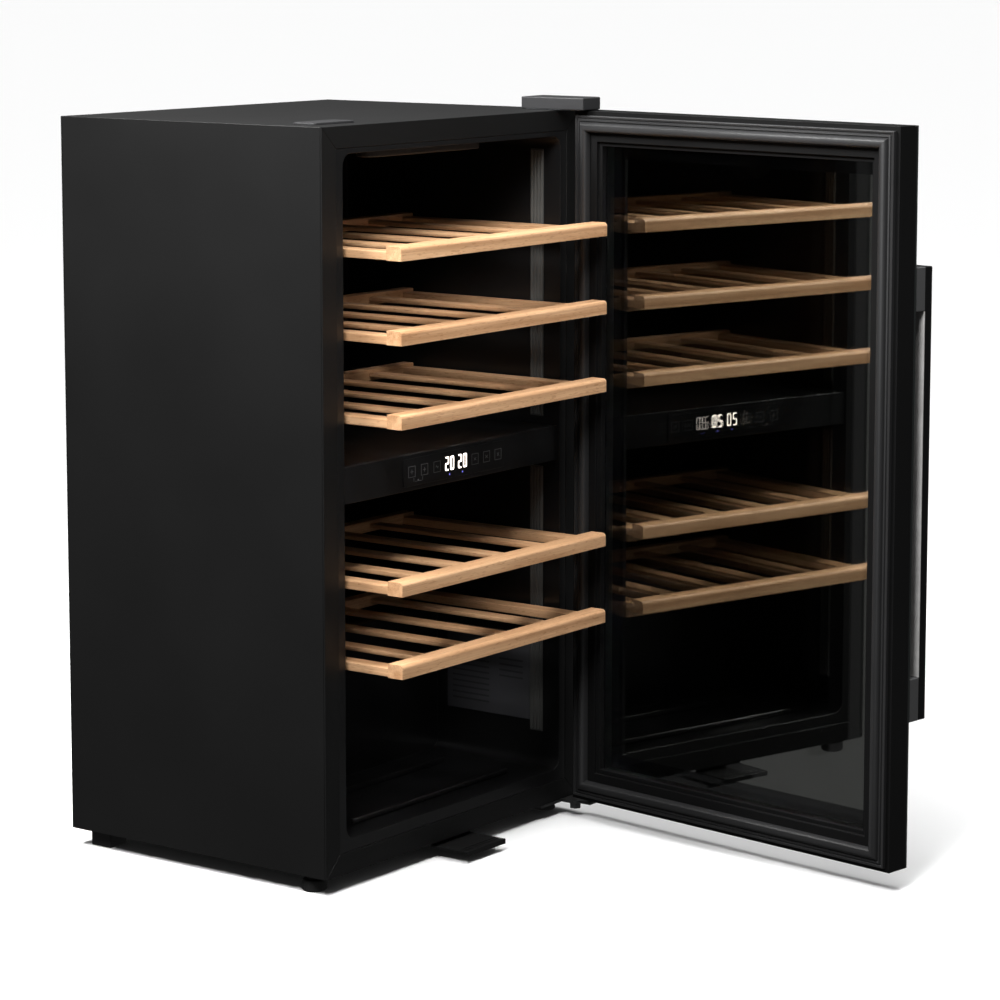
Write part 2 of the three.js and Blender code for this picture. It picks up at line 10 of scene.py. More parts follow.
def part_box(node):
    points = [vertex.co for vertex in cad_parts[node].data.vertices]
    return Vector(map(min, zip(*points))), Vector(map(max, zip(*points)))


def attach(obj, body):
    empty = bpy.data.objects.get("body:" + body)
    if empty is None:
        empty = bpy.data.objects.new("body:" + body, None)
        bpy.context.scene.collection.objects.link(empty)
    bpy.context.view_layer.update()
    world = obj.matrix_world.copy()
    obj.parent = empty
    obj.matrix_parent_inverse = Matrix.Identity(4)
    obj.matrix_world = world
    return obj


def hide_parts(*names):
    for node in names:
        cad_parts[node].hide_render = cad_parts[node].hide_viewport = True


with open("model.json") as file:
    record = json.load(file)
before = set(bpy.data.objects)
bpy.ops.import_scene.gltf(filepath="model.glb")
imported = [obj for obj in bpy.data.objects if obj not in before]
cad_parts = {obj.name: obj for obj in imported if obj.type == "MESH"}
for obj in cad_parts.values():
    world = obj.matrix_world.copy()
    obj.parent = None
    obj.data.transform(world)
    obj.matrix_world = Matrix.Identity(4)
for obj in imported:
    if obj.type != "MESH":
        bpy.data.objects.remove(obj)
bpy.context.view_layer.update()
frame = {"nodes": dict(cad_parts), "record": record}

# Camera: in front and to the left of the cabinet, looking a little down on its side, front and open door.
# A long lens far away keeps the uprights nearly parallel. Angles are in degrees.
CAMERA_PLACE = (-3.0252, -2.4742, 1.0250)
CAMERA_TURN = -53.5464
CAMERA_TILT = 7.6739
camera_data = bpy.data.cameras.new("camera")
camera_data.lens = 122.454
camera_data.sensor_width = 36
camera_data.shift_x = 0.0070
camera_data.shift_y = -0.11
camera_data.clip_end = 200
camera = bpy.data.objects.new("camera", camera_data)
camera.location = CAMERA_PLACE
camera.rotation_euler = (math.radians(90 - CAMERA_TILT), 0, math.radians(CAMERA_TURN))
bpy.context.scene.collection.objects.link(camera)
bpy.context.scene.camera = camera
bpy.context.scene.view_settings.view_transform = "Standard"

# Floor: a wide pale sheet just under the feet, painted a matt white.
# It is hidden from bounced light and reflections, so that the black pieces stay black.
FLOOR_REACH = 70
floor_shape = bmesh.new()
bmesh.ops.create_grid(floor_shape, x_segments=1, y_segments=1, size=FLOOR_REACH)
bmesh.ops.translate(floor_shape, verts=floor_shape.verts, vec=(0, 0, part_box("rear_foot_left")[0].z))
floor_mesh = bpy.data.meshes.new("floor")
floor_shape.to_mesh(floor_mesh)
floor_shape.free()
floor = bpy.data.objects.new("floor", floor_mesh)
bpy.context.scene.collection.objects.link(floor)
floor_paint = bpy.data.materials.new("floor_paint")
floor_paint.use_nodes = True
floor_skin = floor_paint.node_tree.nodes["Principled BSDF"]
floor_skin.inputs["Base Color"].default_value = (0.94, 0.94, 0.94, 1)
floor_skin.inputs["Roughness"].default_value = 0.9
floor_mesh.materials.append(floor_paint)
floor.visible_diffuse = False
floor.visible_glossy = False
floor.visible_transmission = False

# Backdrop: a far white wall all round, which only closes the view above the floor.
# It shines by itself and lights nothing.
WALL_AWAY = 50
WALL_TALL = 60
backdrop_shape = bmesh.new()
bmesh.ops.create_cone(
    backdrop_shape, cap_ends=False, segments=64, radius1=WALL_AWAY, radius2=WALL_AWAY, depth=WALL_TALL,
)
backdrop_mesh = bpy.data.meshes.new("backdrop")
backdrop_shape.to_mesh(backdrop_mesh)
backdrop_shape.free()
backdrop = bpy.data.objects.new("backdrop", backdrop_mesh)
bpy.context.scene.collection.objects.link(backdrop)
backdrop_white = bpy.data.materials.new("backdrop_white")
backdrop_white.use_nodes = True
backdrop_skin = backdrop_white.node_tree.nodes["Principled BSDF"]
backdrop_skin.inputs["Base Color"].default_value = (0, 0, 0, 1)
backdrop_skin.inputs["Emission Color"].default_value = (1, 1, 1, 1)
backdrop_skin.inputs["Emission Strength"].default_value = 0.97
backdrop_mesh.materials.append(backdrop_white)
backdrop.visible_diffuse = False
backdrop.visible_glossy = False
backdrop.visible_transmission = False
backdrop.visible_shadow = False

# Studio light: a dim even surround and soft square lights at the front left, beside the casing and in front.
# A wide overhead light evens out the floor and the top.
world = bpy.data.worlds.new("surround")
world.use_nodes = True
world.node_tree.nodes["Background"].inputs["Color"].default_value = (1, 1, 1, 1)
world.node_tree.nodes["Background"].inputs["Strength"].default_value = 0.1
bpy.context.scene.world = world


def lamp(name, place, aim, size, power):
    """A square soft light that faces a point."""
    data = bpy.data.lights.new(name, "AREA")
    data.shape = "SQUARE"
    data.size = size
    data.energy = power
    light = bpy.data.objects.new(name, data)
    light.location = place
    light.rotation_euler = (Vector(aim) - Vector(place)).to_track_quat("-Z", "Y").to_euler()
    bpy.context.scene.collection.objects.link(light)


lamp("key_light", (-1.7, -0.95, 2.1), (0, -0.2, 0.7), 0.7, 62)
lamp("side_light", (-0.9, 0.4, 1.78), (-0.24, 0, 0.9), 0.6, 60)
lamp("front_light", (-0.25, -0.75, 1.4), (0, -0.3, 0.6), 0.35, 8)

ceiling_data = bpy.data.lights.new("ceiling_light", "SUN")
ceiling_data.energy = 3.1
ceiling_data.angle = math.radians(50)
ceiling_light = bpy.data.objects.new("ceiling_light", ceiling_data)
bpy.context.scene.collection.objects.link(ceiling_light)

# Black flag: a matt black cloth on a stand, just behind the cabinet's front left corner.
# It is seen only in the door's mirror, where it keeps the pale room out.
FLAG_HALF = 1.5
FLAG_ASIDE = 0.03
FLAG_BEHIND = 0.01
flag_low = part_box("front_frame")[0]
flag_shape = bmesh.new()
upright = Matrix.Rotation(math.radians(90), 4, "X")
flag_place = (flag_low.x - FLAG_HALF - FLAG_ASIDE, flag_low.y + FLAG_BEHIND, flag_low.z + FLAG_HALF)
bmesh.ops.create_grid(
    flag_shape, x_segments=1, y_segments=1, size=FLAG_HALF, matrix=Matrix.Translation(flag_place) @ upright,
)
flag_mesh = bpy.data.meshes.new("black_flag")
flag_shape.to_mesh(flag_mesh)
flag_shape.free()
flag = bpy.data.objects.new("black_flag", flag_mesh)
bpy.context.scene.collection.objects.link(flag)
flag_cloth = bpy.data.materials.new("flag_cloth")
flag_cloth.use_nodes = True
flag_skin = flag_cloth.node_tree.nodes["Principled BSDF"]
flag_skin.inputs["Base Color"].default_value = (0.006, 0.006, 0.006, 1)
flag_skin.inputs["Roughness"].default_value = 1
flag_mesh.materials.append(flag_cloth)
flag.visible_camera = False
flag.visible_diffuse = False
flag.visible_shadow = False


# Outer casing: one steel sheet folded over both sides and the top, with small bend radii.
# The whole outside is sprayed with a fine satin black powder coat.
def finish(
    name, colour, shade, rough, metal=0.0, grain=900.0, depth=0.00003, broad=5.0, gloss=0.5, spread=0.05,
):
    """A made surface: two close tones in broad soft patches, with a fine raised grain."""
    material = bpy.data.materials.new(name)
    material.use_nodes = True
    nodes, links = material.node_tree.nodes, material.node_tree.links
    skin = nodes["Principled BSDF"]
    skin.inputs["Metallic"].default_value = metal
    skin.inputs["Specular IOR Level"].default_value = gloss
    place = nodes.new("ShaderNodeTexCoord")
    patches = nodes.new("ShaderNodeTexNoise")
    patches.inputs["Scale"].default_value = broad
    patches.inputs["Detail"].default_value = 4
    tone = nodes.new("ShaderNodeValToRGB")
    tone.color_ramp.elements[0].position = 0.35
    tone.color_ramp.elements[0].color = (*shade, 1)
    tone.color_ramp.elements[1].position = 0.65
    tone.color_ramp.elements[1].color = (*colour, 1)
    grit = nodes.new("ShaderNodeTexNoise")
    grit.inputs["Scale"].default_value = grain
    grit.inputs["Detail"].default_value = 2
    sheen = nodes.new("ShaderNodeMapRange")
    sheen.inputs["To Min"].default_value = rough - spread
    sheen.inputs["To Max"].default_value = rough + spread
    bump = nodes.new("ShaderNodeBump")
    bump.inputs["Strength"].default_value = 0.6
    bump.inputs["Distance"].default_value = depth
    for texture in (patches, grit):
        links.new(place.outputs["Object"], texture.inputs["Vector"])
    links.new(patches.outputs["Fac"], tone.inputs["Fac"])
    links.new(tone.outputs["Color"], skin.inputs["Base Color"])
    links.new(patches.outputs["Fac"], sheen.inputs["Value"])
    links.new(sheen.outputs["Result"], skin.inputs["Roughness"])
    if depth:
        links.new(grit.outputs["Fac"], bump.inputs["Height"])
        links.new(bump.outputs["Normal"], skin.inputs["Normal"])
    return material


def piece(name, shape, body, finishes, stands_for=()):
    """Turn a bmesh into a finished piece that rides on a body and stands for its CAD nodes."""
    mesh = bpy.data.meshes.new(name)
    shape.normal_update()
    shape.to_mesh(mesh)
    shape.free()
    mesh.shade_smooth()
    mesh.set_sharp_from_angle(angle=math.radians(38))
    for one in finishes:
        mesh.materials.append(one)
    made = bpy.data.objects.new(name, mesh)
    even = made.modifiers.new("flat_faces_even", "WEIGHTED_NORMAL")
    even.keep_sharp = True
    bpy.context.scene.collection.objects.link(made)
    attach(made, body)
    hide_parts(*stands_for)
    return made


def round_edges(shape, edges, edge, segments=2):
    """Round some edges of a bmesh."""
    bmesh.ops.bevel(
        shape, geom=list(edges), offset=edge, offset_type="OFFSET", segments=segments, profile=0.5,
        affect="EDGES", clamp_overlap=True, material=-1,
    )


def sharp_edges(shape, angle=30):
    """The edges of a bmesh that turn more than an angle."""
    limit = math.radians(angle)
    return [e for e in shape.edges if len(e.link_faces) == 2 and e.calc_face_angle() > limit]


def softened(node, edge, segments=2, angle=30):
    """A copy of a CAD solid with its flat faces made whole and its edges rounded."""
    shape = bmesh.new()
    shape.from_mesh(frame["nodes"][node].data)
    bmesh.ops.remove_doubles(shape, verts=shape.verts, dist=0.00002)
    flat = math.radians(1)
    bmesh.ops.dissolve_limit(shape, angle_limit=flat, verts=shape.verts, edges=shape.edges)
    round_edges(shape, sharp_edges(shape, angle), edge, segments)
    return shape


powder_black = finish(
    "powder_black", (0.0042, 0.0042, 0.0042), (0.0034, 0.0034, 0.0034), 0.48, grain=1400, gloss=0.3,
)
piece("casing_sheet", softened("outer_casing", 0.0006, 3), "cabinet", [powder_black],
      ["outer_casing"])


# Front frame: the steel flange round the opening, four flat arms that meet in mitres.
# It is spot-welded behind and coated with the casing.
def block(shape, low, high, edge=0.0, segments=2):
    """Add a box between two corners to a bmesh, with its edges rounded, and give its vertices."""
    before = set(shape.verts)
    low, high = Vector(low), Vector(high)
    size = Matrix.Diagonal((*(high - low), 1))
    made = bmesh.ops.create_cube(shape, size=1, matrix=Matrix.Translation((low + high) / 2) @ size)
    if edge:
        edges = {e for v in made["verts"] for e in v.link_edges}
        round_edges(shape, edges, edge, segments)
    return [v for v in shape.verts if v not in before]


def mitred(shape, low, high, width, gap=0.0, edge=0.0):
    """Add four flat bars round a rectangle in X and Z, each cut at 45 degrees at its ends."""
    for across, far in ((0, False), (0, True), (2, False), (2, True)):
        along = 2 - across
        corner, end = Vector(low), Vector(high)
        if far:
            corner[across] = high[across] - width
        else:
            end[across] = low[across] + width
        middle = (low[along] + high[along]) / 2
        bar = block(shape, corner, end)
        inside = corner[across] if far else end[across]
        for v in bar:
            step = gap + (width if abs(v.co[across] - inside) < 1e-6 else 0)
            v.co[along] += step if v.co[along] < middle else -step
        if edge:
            round_edges(shape, {e for v in bar for e in v.link_edges}, edge)


FLANGE = 0.024
frame_low, frame_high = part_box("front_frame")
flange = bmesh.new()
mitred(flange, frame_low, frame_high, FLANGE, gap=0.0001, edge=0.0005)
piece("front_flange", flange, "cabinet", [powder_black], ["front_frame"])


# Back sheet and base pan: pressed steel, coated like the casing.
# Ten zinc-plated pan-head screws hold the back sheet round its edge.
def turned(shape, profile, centre, axis=(0, 0, 1), steps=32):
    """Spin a profile of (radius, distance along the axis) round an axis, and give its vertices."""
    before = set(shape.verts)
    axis = Vector(axis)
    side = axis.orthogonal().normalized()
    line = [shape.verts.new(Vector(centre) + side * radius + axis * along) for radius, along in profile]
    edges = [shape.edges.new(pair) for pair in zip(line, line[1:])]
    bmesh.ops.spin(
        shape, geom=line + edges, cent=centre, axis=axis, angle=2 * math.pi, steps=steps, use_merge=True,
    )
    fresh = [v for v in shape.verts if v not in before]
    bmesh.ops.remove_doubles(shape, verts=fresh, dist=0.000002)
    fresh = [v for v in shape.verts if v not in before]
    faces = {f for v in fresh for f in v.link_faces}
    bmesh.ops.recalc_face_normals(shape, faces=list(faces))
    return fresh


for node in ("back_panel", "base_pan"):
    piece(f"{node}_sheet", softened(node, 0.0004), "cabinet", [powder_black], [node])

zinc_plate = finish("zinc_plate", (0.42, 0.43, 0.44), (0.3, 0.31, 0.33), 0.38, metal=0.9, grain=500, broad=60)
SCREW = (
    (0, 0.0016), (0.0009, 0.0016), (0.0011, 0.0011), (0.0016, 0.0011), (0.0026, 0.001), (0.0031, 0.0004),
    (0.0031, 0), (0, 0),
)
SCREW_EDGE = 0.011
SCREW_HEIGHTS = (0.05, 0.235, 0.42, 0.61, 0.795)
back_low, back_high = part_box("back_panel")
back_screws = bmesh.new()
for z in SCREW_HEIGHTS:
    for x in (back_low.x + SCREW_EDGE, back_high.x - SCREW_EDGE):
        turned(back_screws, SCREW, (x, back_high.y, z), (0, 1, 0), 16)
piece("back_screws", back_screws, "cabinet", [zinc_plate])

# Liner: one vacuum-formed tub of black plastic with shelf ledges moulded into its side walls.
# Its mouth is rolled over a generous radius, which shows as one fine bright line.
liner_black = finish(
    "liner_black", (0.006, 0.006, 0.0062), (0.005, 0.005, 0.0052), 0.3, grain=700, gloss=0.45,
)
piece("liner_tub", softened("liner", 0.0012, 3), "cabinet", [liner_black], ["liner"])

# Insulation: poured polyurethane foam, pale and open only towards the machine bay.
# A thin galvanised sheet covers it there.
foam_cream = finish(
    "foam_cream", (0.72, 0.66, 0.45), (0.6, 0.52, 0.32), 0.9, grain=350, depth=0.0004, broad=30,
)
frame["nodes"]["insulation"].data.materials.clear()
frame["nodes"]["insulation"].data.materials.append(foam_cream)
galvanised = finish("galvanised", (0.4, 0.42, 0.43), (0.26, 0.28, 0.3), 0.42, metal=0.85, grain=90, broad=45)
BAY_FRONT = 0.0302
BAY_REAR = 0.187
BAY_LOW = 0.0022
BAY_TOP = 0.1898
BAY_SIDE = 0.2346
BAY_SHEET = 0.0008
bay_lining = bmesh.new()
block(bay_lining, (-BAY_SIDE, BAY_FRONT, BAY_LOW), (BAY_SIDE, BAY_FRONT + BAY_SHEET, BAY_TOP - BAY_SHEET))
block(bay_lining, (-BAY_SIDE, BAY_FRONT, BAY_TOP - BAY_SHEET), (BAY_SIDE, BAY_REAR, BAY_TOP))
piece("bay_lining", bay_lining, "cabinet", [galvanised])

# Divider between the zones: a moulded box across the tub with a satin fascia snapped on its front.
# The fascia is a little greyer than the tub.
fascia_black = finish(
    "fascia_black", (0.008, 0.008, 0.0083), (0.0065, 0.0065, 0.007), 0.42, grain=800, gloss=0.25,
)
piece("divider_box", softened("zone_divider", 0.001), "cabinet", [liner_black],
      ["zone_divider"])
piece("fascia", softened("control_fascia", 0.0009, 3), "cabinet", [fascia_black],
      ["control_fascia"])

# Touch strip: a smoked acrylic strip let into the fascia.
# Thin printed outlines mark its touch areas and two seven-segment displays shine through it.
strip_black = finish(
    "strip_black", (0.008, 0.008, 0.0083), (0.0065, 0.0065, 0.007), 0.38, grain=600, depth=0.000004,
    gloss=0.25,
)
touch_strip = bmesh.new()
strip_low, strip_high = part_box("touch_strip")
block(touch_strip, strip_low, strip_high, 0.0004)
piece("touch_strip_panel", touch_strip, "cabinet", [strip_black], ["touch_strip"])

print_grey = finish("print_grey", (0.15, 0.15, 0.157), (0.11, 0.11, 0.116), 0.5, grain=900, depth=0)
PRINT = 0.00012
printed = strip_low.y - PRINT


def mark(shape, x, z, wide, high, turn=0.0):
    """Add one flat printed bar, centred and turned in the plane of the strip."""
    made = block(shape, (-wide / 2, 0, -high / 2), (wide / 2, PRINT, high / 2))
    bmesh.ops.transform(
        shape, verts=made, matrix=Matrix.Translation((x, printed, z)) @ Matrix.Rotation(turn, 4, "Y"),
    )


KEY_Z = (strip_low.z + strip_high.z) / 2 + 0.0005
KEY_HALF = 0.00625
KEY_LINE = 0.0005
SIGN_WIDE = 0.0052
SIGN_LINE = 0.0006
# Each key's place across the strip, with the turns in degrees of the two bars of its sign.
KEY_TURNS = {
    -0.080: (0, 90), -0.057: (0, 90), -0.034: (45, 0), 0.037: (35, -35), 0.059: (-35, 35), 0.081: (45, -45),
}
keys = bmesh.new()
for x, turns in KEY_TURNS.items():
    mitred(keys, (x - KEY_HALF, printed, KEY_Z - KEY_HALF), (x + KEY_HALF, printed + PRINT, KEY_Z + KEY_HALF),
           KEY_LINE)
    for turn in turns:
        mark(keys, x, KEY_Z, SIGN_WIDE, SIGN_LINE, math.radians(turn))

# A bracket under the first two keys, with a small block in its middle, says that they lock together.
BRACKET_X = -0.0685
BRACKET_Z = KEY_Z - 0.0115
LEG_X, LEG_HIGH = 0.008, 0.004
ARM_X, ARM_WIDE = 0.0038, 0.0045
LOCK = 0.0022
for side in (-1, 1):
    mark(keys, BRACKET_X + side * LEG_X, BRACKET_Z + LEG_HIGH / 2, KEY_LINE, LEG_HIGH)
    mark(keys, BRACKET_X + side * ARM_X, BRACKET_Z, ARM_WIDE, KEY_LINE)
mark(keys, BRACKET_X, BRACKET_Z + 0.001, LOCK, LOCK)
piece("touch_marks", keys, "cabinet", [print_grey])


def glowing(name, colour, strength):
    """A finish that shines by itself in its own colour."""
    material = finish(name, colour, [c * 0.8 for c in colour], 0.4, depth=0)
    skin = material.node_tree.nodes["Principled BSDF"]
    skin.inputs["Emission Color"].default_value = (*colour, 1)
    skin.inputs["Emission Strength"].default_value = strength
    return material


display_white = glowing("display_white", (1.0, 0.9, 0.82), 3.2)
display_blue = glowing("display_blue", (0.22, 0.22, 1.0), 0.9)
LIT = {"0": "abcdef", "2": "abdeg"}
DIGIT_WIDE, DIGIT_HIGH, BAR = 0.0068, 0.0158, 0.0017
SEGMENTS = {
    "a": (0, 1, True), "g": (0, 0, True), "d": (0, -1, True), "b": (1, 0.5, False), "c": (1, -0.5, False),
    "f": (-1, 0.5, False), "e": (-1, -0.5, False),
}
DISPLAYS = (-0.0108, 0.0132)
DIGITS = ((-0.0047, "2"), (0.0047, "0"))
DOT = 0.0016
digits = bmesh.new()
dots = bmesh.new()
for display_x in DISPLAYS:
    for offset, digit in DIGITS:
        for key in LIT[digit]:
            right, up, level = SEGMENTS[key]
            x = display_x + offset + right * (DIGIT_WIDE - BAR) / 2
            z = KEY_Z + 0.001 + up * (DIGIT_HIGH - BAR) / 2
            wide = DIGIT_WIDE - BAR * 1.1 if level else BAR
            high = BAR if level else DIGIT_HIGH / 2 - BAR * 0.6
            mark(digits, x, z, wide, high)
    mark(dots, display_x, BRACKET_Z, DOT, DOT, math.radians(45))
piece("display_digits", digits, "cabinet", [display_white])
piece("display_dots", dots, "cabinet", [display_blue])

board_green = finish("board_green", (0.02, 0.12, 0.05), (0.015, 0.09, 0.04), 0.5, grain=300, broad=80)
piece("driver_board", softened("control_board", 0.0002), "cabinet", [board_green],
      ["control_board"])

# Light bars: four extruded diffusers up the side walls, with ribs along their length.
# They are off, and read as plain grey bands on the black tub.
lens_grey = finish("lens_grey", (0.07, 0.07, 0.066), (0.055, 0.055, 0.052), 0.45, grain=500, broad=25)
RIBS = 4
RIB_SHARE = 0.72
LENS_BASE = 0.0016
LENS_PROUD = 0.0029
LENS_END = 0.002
for side, inward in (("left", 1), ("right", -1)):
    for zone in ("upper", "lower"):
        low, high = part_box(f"light_bar_{side}_{zone}")
        back = low.x if inward > 0 else high.x
        base = sorted((back, back + inward * LENS_BASE))
        proud = sorted((back, back + inward * LENS_PROUD))
        bar = bmesh.new()
        block(bar, (base[0], low.y, low.z), (base[1], high.y, high.z), 0.0003)
        pitch = (high.y - low.y) / RIBS
        half = pitch * RIB_SHARE / 2
        for k in range(RIBS):
            y = low.y + (k + 0.5) * pitch
            block(bar, (proud[0], y - half, low.z + LENS_END),
                  (proud[1], y + half, high.z - LENS_END), 0.0009)
        piece(f"light_lens_{side}_{zone}", bar, "cabinet", [lens_grey],
              [f"light_bar_{side}_{zone}"])

# Ceiling lamp: a slim moulded housing with round ends, screwed under the roof of the tub.
# A frosted lens fills most of its underside.
trim_grey = finish("trim_grey", (0.035, 0.035, 0.036), (0.028, 0.028, 0.029), 0.45, grain=700, gloss=0.4)
piece("ceiling_lamp_housing", softened("ceiling_lamp", 0.0018, 3), "cabinet", [trim_grey],
      ["ceiling_lamp"])
LENS_IN = Vector((0.02, 0.006, 0))
LENS_DROP = 0.0006
LENS_THICK = 0.0016
lamp_low, lamp_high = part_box("ceiling_lamp")
lens_low = lamp_low + LENS_IN
lens_high = lamp_high - LENS_IN
lens_low.z = lamp_low.z - LENS_DROP
lens_high.z = lens_low.z + LENS_THICK
lens = bmesh.new()
block(lens, lens_low, lens_high, 0.0005)
piece("ceiling_lamp_lens", lens, "cabinet", [lens_grey])

# Air ducts on the rear wall: slotted covers, each with a guard over its fan opening.
# Behind them are a flat motor on its bar, a seven-blade rotor and a finned aluminium evaporator.
aluminium = finish("aluminium", (0.6, 0.61, 0.62), (0.48, 0.49, 0.5), 0.35, metal=0.9, grain=400, broad=40)
GUARD_PITCH = 0.0095
GUARD_RINGS = 4
WIRE_HALF = 0.0006
WIRE_DEEP = 0.0012
SPOKES = 4
SPOKE_HALF = 0.0007
SPOKE_DEEP = 0.0011
SPOKE_START = GUARD_PITCH - 0.001
SPOKE_END = GUARD_RINGS * GUARD_PITCH + 0.0005
for zone in ("upper", "lower"):
    piece(f"duct_panel_{zone}", softened(f"duct_cover_{zone}", 0.0005), "cabinet", [liner_black],
          [f"duct_cover_{zone}"])
    piece(f"fan_motor_bar_{zone}", softened(f"fan_motor_{zone}", 0.0005), "cabinet", [trim_grey],
          [f"fan_motor_{zone}"])
    piece(f"fan_blades_{zone}", softened(f"fan_rotor_{zone}", 0.0003, 2, 25), f"fan_{zone}", [trim_grey],
          [f"fan_rotor_{zone}"])
    piece(f"evaporator_fins_{zone}", softened(f"evaporator_{zone}", 0.0002, 1), "cabinet", [aluminium],
          [f"evaporator_{zone}"])
    rotor_low, rotor_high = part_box(f"fan_rotor_{zone}")
    eye = (rotor_low.z + rotor_high.z) / 2
    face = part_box(f"duct_cover_{zone}")[0].y + 0.0004
    guard = bmesh.new()
    for k in range(GUARD_RINGS):
        inner = (k + 1) * GUARD_PITCH - WIRE_HALF
        outer = (k + 1) * GUARD_PITCH + WIRE_HALF
        ring = [(inner, 0), (outer, 0), (outer, WIRE_DEEP), (inner, WIRE_DEEP), (inner, 0)]
        turned(guard, ring, (0, face, eye), (0, 1, 0), 40)
    for k in range(SPOKES):
        spoke = block(guard, (SPOKE_START, 0, -SPOKE_HALF), (SPOKE_END, SPOKE_DEEP, SPOKE_HALF))
        turn = Matrix.Rotation(2 * math.pi * (k + 0.5) / SPOKES, 4, "Y")
        place = Matrix.Translation((0, face + 0.0001, eye))
        bmesh.ops.transform(guard, verts=spoke, matrix=place @ turn)
    piece(f"fan_guard_{zone}", guard, "cabinet", [trim_grey])

# Vent filter cap: a round moulded cap that snaps into the left wall over a charcoal filter.
# It has a raised rim, a knob in its middle and two grip bars.
cap_low, cap_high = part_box("vent_filter_cap")
cap_mid = (cap_low + cap_high) / 2
cap_radius = (cap_high.y - cap_low.y) / 2
cap_profile = (
    (0, 0), (cap_radius, 0), (cap_radius, 0.0042), (cap_radius - 0.0012, 0.0058),
    (cap_radius - 0.0035, 0.0058), (cap_radius - 0.0048, 0.0035), (0.006, 0.0035), (0.0045, 0.0055),
    (0, 0.0056),
)
filter_cap = bmesh.new()
turned(filter_cap, cap_profile, (cap_low.x, cap_mid.y, cap_mid.z), (1, 0, 0), 48)
GRIP_APART = 0.0095
GRIP_HALF = Vector((0.0011, 0.016, 0.0012))
for k in (-1, 1):
    grip = Vector((cap_low.x + 0.0041, cap_mid.y, cap_mid.z + k * GRIP_APART))
    block(filter_cap, grip - GRIP_HALF, grip + GRIP_HALF, 0.0006)
piece("filter_cap", filter_cap, "cabinet", [lens_grey], ["vent_filter_cap"])

# Rating label: a thin silvered film stuck on the right wall.
# It carries no words, only two columns of plain ruled bars.
label_silver = finish("label_silver", (0.055, 0.055, 0.06), (0.045, 0.045, 0.05), 0.4, grain=300, depth=0)
label_bar = finish("label_bar", (0.025, 0.025, 0.027), (0.02, 0.02, 0.022), 0.5, depth=0)
label_low, label_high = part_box("rating_plate")
label = bmesh.new()
block(label, label_low, label_high, 0.0001)
piece("rating_label", label, "cabinet", [label_silver], ["rating_plate"])
RULE_THICK = 0.0001
RULE_HIGH = 0.0022
RULE_STEP = 0.007
RULE_TOP = 0.036
COLUMNS = (
    (9, label_low.y + 0.06, label_high.y - 0.008),
    (4, label_low.y + 0.01, label_low.y + 0.045),
)
bars = bmesh.new()
for rules, start, end in COLUMNS:
    for k in range(rules):
        z = label_high.z - RULE_TOP - RULE_STEP * k
        block(bars, (label_low.x - RULE_THICK, start, z), (label_low.x, end, z + RULE_HIGH))
piece("rating_label_bars", bars, "cabinet", [label_bar])

# Floor ribs: two low round-ended ribs of the tub's own black plastic.
# They are moulded on its floor and carry bottles clear of it.
for where in ("front", "rear"):
    piece(f"bottle_rib_{where}", softened(f"floor_rib_{where}", 0.0018, 3), "cabinet", [liner_black],
          [f"floor_rib_{where}"])

# Compressor: a two-part pressed steel pot with a welded seam, painted black, on a stamped foot plate.
# It stands on four rubber grommets, with its relay box on one side and three copper stubs.
compressor_black = finish(
    "compressor_black", (0.02, 0.02, 0.021), (0.014, 0.014, 0.015), 0.4, grain=500, broad=25,
)
rubber_black = finish(
    "rubber_black", (0.016, 0.016, 0.016), (0.011, 0.011, 0.011), 0.8, grain=600, depth=0.00008,
)
copper = finish("copper", (0.62, 0.25, 0.13), (0.4, 0.15, 0.08), 0.35, metal=0.9, grain=300, broad=50)
plate_low, plate_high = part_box("compressor_plate")
COMP_X = (plate_low.x + plate_high.x) / 2
COMP_Y = (plate_low.y + plate_high.y) / 2
POT = (
    (0, 0.03), (0.03, 0.03), (0.046, 0.036), (0.054, 0.05), (0.056, 0.09), (0.0585, 0.091), (0.0585, 0.096),
    (0.056, 0.097), (0.055, 0.118), (0.049, 0.138), (0.036, 0.151), (0.018, 0.158), (0, 0.1595),
)
POT_STRETCH = 1.18
# Half width, half depth, underside, top and edge of the foot plate and of the saddle on it.
FOOT_PLATE = (0.084, 0.044, 0.022, 0.0255, 0.001)
SADDLE = (0.035, 0.028, 0.025, 0.034, 0.002)
pot = bmesh.new()
body = turned(pot, POT, (COMP_X, COMP_Y, 0), (0, 0, 1), 48)
bmesh.ops.scale(pot, vec=(POT_STRETCH, 1, 1), space=Matrix.Translation((-COMP_X, -COMP_Y, 0)), verts=body)
for wide, deep, under, over, edge in (FOOT_PLATE, SADDLE):
    block(pot, (COMP_X - wide, COMP_Y - deep, under), (COMP_X + wide, COMP_Y + deep, over), edge)
piece("compressor_pot", pot, "cabinet", [compressor_black], ["compressor"])
relay = bmesh.new()
block(relay, (COMP_X - 0.099, COMP_Y - 0.02, 0.07), (COMP_X - 0.058, COMP_Y + 0.02, 0.11), 0.004, 3)
block(relay, (COMP_X - 0.0992, COMP_Y - 0.004, 0.066), (COMP_X - 0.062, COMP_Y + 0.004, 0.071), 0.001)
piece("relay_box", relay, "cabinet", [trim_grey])
GROMMET = (
    (0, 0.005), (0.009, 0.005), (0.009, 0.012), (0.006, 0.014), (0.009, 0.016), (0.009, 0.0218),
    (0.0055, 0.0222), (0.0055, 0.029), (0.003, 0.0305), (0, 0.0305),
)
grommets = bmesh.new()
for x in (-0.07, 0.07):
    for y in (-0.03, 0.03):
        turned(grommets, GROMMET, (COMP_X + x, COMP_Y + y, 0), (0, 0, 1), 20)
piece("compressor_grommets", grommets, "cabinet", [rubber_black])


